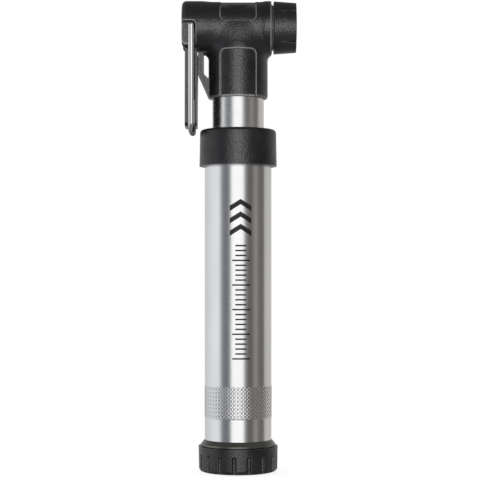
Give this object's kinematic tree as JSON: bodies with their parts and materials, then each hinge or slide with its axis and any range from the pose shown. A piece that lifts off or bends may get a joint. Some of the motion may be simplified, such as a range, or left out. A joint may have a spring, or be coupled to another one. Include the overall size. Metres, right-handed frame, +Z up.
{
  "type": "bicycle mini pump",
  "caption": "Telescoping hand pump with a knurled barrel, collar, vent knob and a head with a screw-cap valve chuck, cam lever and wire bail.",
  "frame": {"origin": "centre of the knob's underside, on the pump's axis, which stands on Z = 0", "axes": "+Z up the pump's axis from knob to head; +X along the chuck towards the valve; the lever hangs at -X"},
  "size_m": [0.0411, 0.0286, 0.1694],
  "materials": {
    "brushed_aluminium": "satin, drawn and clear anodised",
    "black_nylon": "fine moulded grain",
    "grey_anodised": "turned, matt dark grey anodised",
    "polished_wire": "polished stainless wire",
    "white_acetal": "turned acetal",
    "black_rubber": "moulded nitrile",
    "grey_rubber": "moulded, firm",
    "zinc_steel": "bright zinc plated",
    "turned_brass": "turned"
  },
  "bodies": {
    "barrel_assembly": {"barrel": "brushed_aluminium", "end_plug": "grey_anodised", "plug_o_ring": "black_rubber", "vent_seal": "black_rubber", "stop_pin": "zinc_steel", "knob_screw": "zinc_steel", "spring_washer": "zinc_steel", "plunger_rod": "brushed_aluminium", "inner_piston": "white_acetal", "inner_piston_o_ring": "black_rubber", "piston_screw": "zinc_steel", "guide_bush": "white_acetal", "wiper_ring": "black_rubber", "collar": "black_nylon"},
    "knob": {"mode_knob": "black_nylon"},
    "head": {"head_body": "black_nylon", "inner_tube": "brushed_aluminium", "tail_piston": "white_acetal", "tail_piston_o_ring": "black_rubber", "bump_ring": "black_rubber", "valve_seat": "white_acetal", "valve_seat_o_ring": "black_rubber", "valve_spring": "zinc_steel"},
    "poppet": {"check_valve": "black_rubber"},
    "plunger_group": {"plunger": "white_acetal", "plunger_o_ring": "black_rubber", "valve_pin": "turned_brass"},
    "gasket": {"valve_gasket": "grey_rubber"},
    "cap": {"chuck_cap": "black_nylon"},
    "lever_group": {"lever": "black_nylon", "wire_bail": "polished_wire"}
  },
  "joints": [
    {"name": "pump_stroke", "type": "slide", "parent": "barrel_assembly", "child": "head", "axis": [0, 0, 1], "range_m": [0, 0.0795]},
    {"name": "knob_turn", "type": "hinge", "parent": "barrel_assembly", "child": "knob", "pos_m": [0, 0, 0.0046], "axis": [0, 0, 1], "range_deg": [0, 90]},
    {"name": "valve_lift", "type": "slide", "parent": "head", "child": "poppet", "axis": [0, 0, 1], "range_m": [0, 0.0008], "stiffness_N_per_m": 50, "springref_m": -0.002, "deforming": ["valve_spring"]},
    {"name": "lever_swing", "type": "hinge", "parent": "head", "child": "lever_group", "pos_m": [-0.0166, 0, 0.1596], "axis": [0, 1, 0], "range_deg": [0, 90]},
    {"name": "plunger_push", "type": "slide", "parent": "head", "child": "plunger_group", "axis": [1, 0, 0], "range_m": [0, 0.0012]},
    {"name": "cap_travel", "type": "slide", "parent": "head", "child": "gasket", "axis": [1, 0, 0], "range_m": [0, 0.00375]},
    {"name": "cap_spin", "type": "hinge", "parent": "gasket", "child": "cap", "pos_m": [0.0168, 0, 0.1598], "axis": [1, 0, 0], "range_deg": [0, 900]}
  ],
  "couplings": [
    {"joint": "plunger_push", "follows": "lever_swing", "m_per_rad": 0.00076},
    {"joint": "cap_travel", "follows": "cap_spin", "m_per_rad": 0.00023873}
  ]
}
